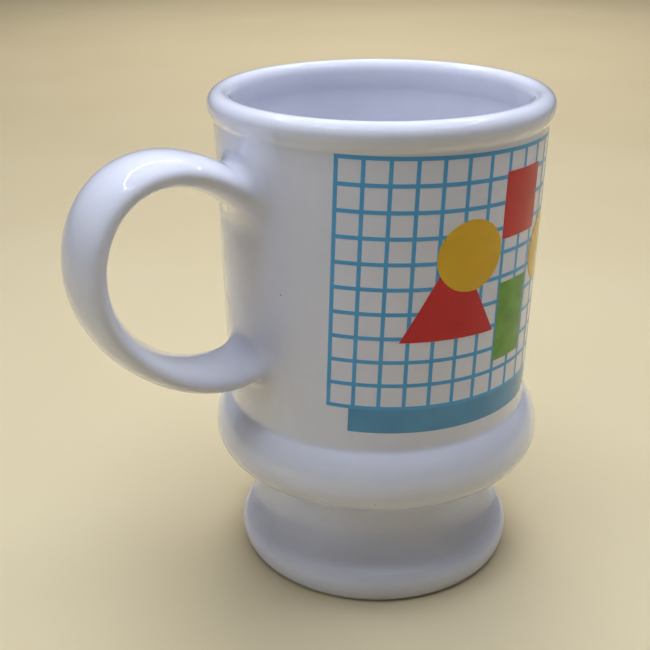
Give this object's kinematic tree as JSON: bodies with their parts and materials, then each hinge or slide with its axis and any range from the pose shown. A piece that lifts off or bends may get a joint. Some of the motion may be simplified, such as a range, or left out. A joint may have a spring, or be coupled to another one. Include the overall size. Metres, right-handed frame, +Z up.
{
  "type": "ceramic pedestal mug",
  "caption": "Glazed ceramic pedestal mug with a rolled rim, a bulge above a flared hollow foot, a C-shaped strap handle and a geometric printed decal.",
  "frame": {"origin": "on the mug's axis, in the plane of the ring that it stands on", "axes": "+Z up along the mug's axis; the handle points along -X; +Y across the handle"},
  "size_m": [0.1278, 0.0878, 0.127],
  "materials": {
    "glazed_clay": "white stoneware under a glossy, faintly blue-white glaze; the ring that stands on the table is bare",
    "luting_slip": "fired slip, the same clay as the body",
    "enamel_blue": "mid-blue printed enamel, satin gloss",
    "enamel_pale_blue": "lighter blue printed enamel, satin gloss",
    "enamel_red": "red printed enamel, satin gloss",
    "enamel_yellow": "yellow printed enamel, satin gloss",
    "enamel_green": "green printed enamel, satin gloss"
  },
  "bodies": {
    "root": {"cup_body": "glazed_clay", "pedestal_foot": "glazed_clay", "foot_joint_slip": "luting_slip", "handle": "glazed_clay", "upper_joint_slip": "luting_slip", "lower_joint_slip": "luting_slip", "decal_grid": "enamel_blue", "decal_shadow_bar": "enamel_pale_blue", "decal_red_shapes": "enamel_red", "decal_yellow_discs": "enamel_yellow", "decal_green_blocks": "enamel_green"}
  },
  "joints": []
}
